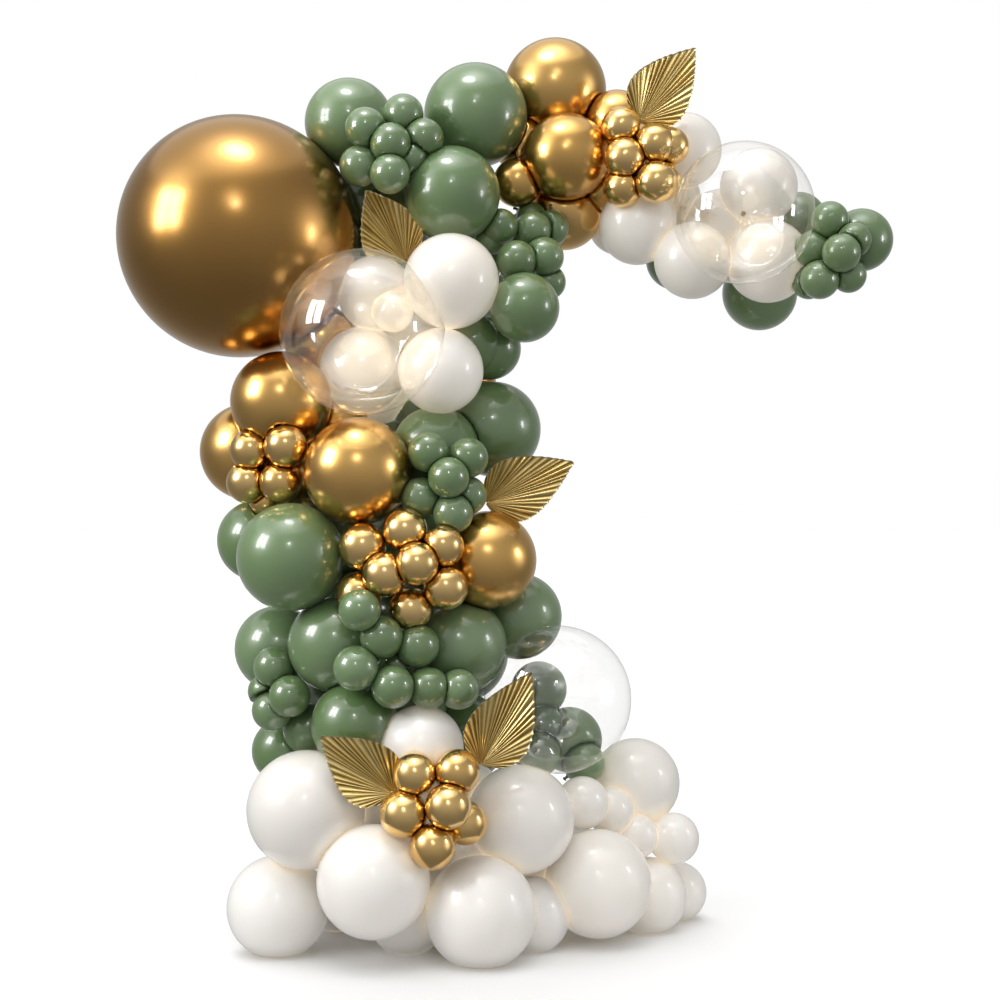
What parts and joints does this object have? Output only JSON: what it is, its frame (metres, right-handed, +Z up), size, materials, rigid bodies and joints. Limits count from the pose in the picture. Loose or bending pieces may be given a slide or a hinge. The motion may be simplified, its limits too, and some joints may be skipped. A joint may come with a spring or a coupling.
{
  "type": "balloon garland",
  "caption": "Tall standing balloon garland: a full column of pressed sage, chrome gold, pearl and clear balloons with a side arm, jumbo gold balloon and pleated gold leaves.",
  "frame": {"origin": "centre of the footprint box on the floor, under the lowest balloons", "axes": "+Z up, -Y towards the viewer of the show side, +X towards the end of the side arm"},
  "size_m": [2.0344, 0.8628, 2.4028],
  "materials": {
    "gold": "chrome-like metallic gold latex, soft mirror",
    "sage": "glossy opaque sage green latex",
    "white": "pearl white latex, soft sheen",
    "clear": "thin clear film, glossy",
    "leaf": "pressed pleated leaf with metallic gold coat"
  },
  "bodies": {
    "root": {"gold_jumbo": "gold", "gold_top_pair": "gold", "gold_upper_group": "gold", "sage_top_left": "sage", "sage_top": "sage", "sage_upper": "sage", "sage_cluster_top": "sage", "gold_cluster_arm": "gold", "arm_white_top": "white", "arm_white_group": "white", "arm_white_pair": "white", "arm_sage_behind": "sage", "arm_sage_under": "sage", "arm_sage_side": "sage", "arm_clear": "clear", "sage_cluster_arm_end": "sage", "white_upper": "white", "white_middle": "white", "white_behind_clear": "white", "main_clear": "clear", "sage_middle": "sage", "sage_middle_pair": "sage", "sage_cluster_middle": "sage", "gold_back": "gold", "sage_right_pair": "sage", "sage_cluster_right": "sage", "gold_left_group": "gold", "gold_behind_clear": "gold", "gold_centre": "gold", "gold_cluster_left": "gold", "gold_right": "gold", "gold_cluster_middle": "gold", "sage_left_pair": "sage", "sage_low_left": "sage", "sage_low_centre": "sage", "sage_low_right_pair": "sage", "sage_low_front": "sage", "sage_low_small_pair": "sage", "sage_cluster_low": "sage", "sage_cluster_low_left": "sage", "low_clear": "clear", "sage_behind_clear": "sage", "base_white_upper": "white", "gold_cluster_base": "gold", "base_white_left_pair": "white", "base_white_left_floor": "white", "base_white_front_left": "white", "base_white_front": "white", "base_white_middle_pair": "white", "base_white_front_right": "white", "base_white_right_group": "white", "base_white_right_floor": "white", "base_white_back": "white", "sage_back_upper": "sage", "sage_back_lower": "sage", "leaf_top": "leaf", "leaf_upper": "leaf", "leaf_middle": "leaf", "leaf_low_left": "leaf", "leaf_low_right": "leaf"}
  },
  "joints": []
}
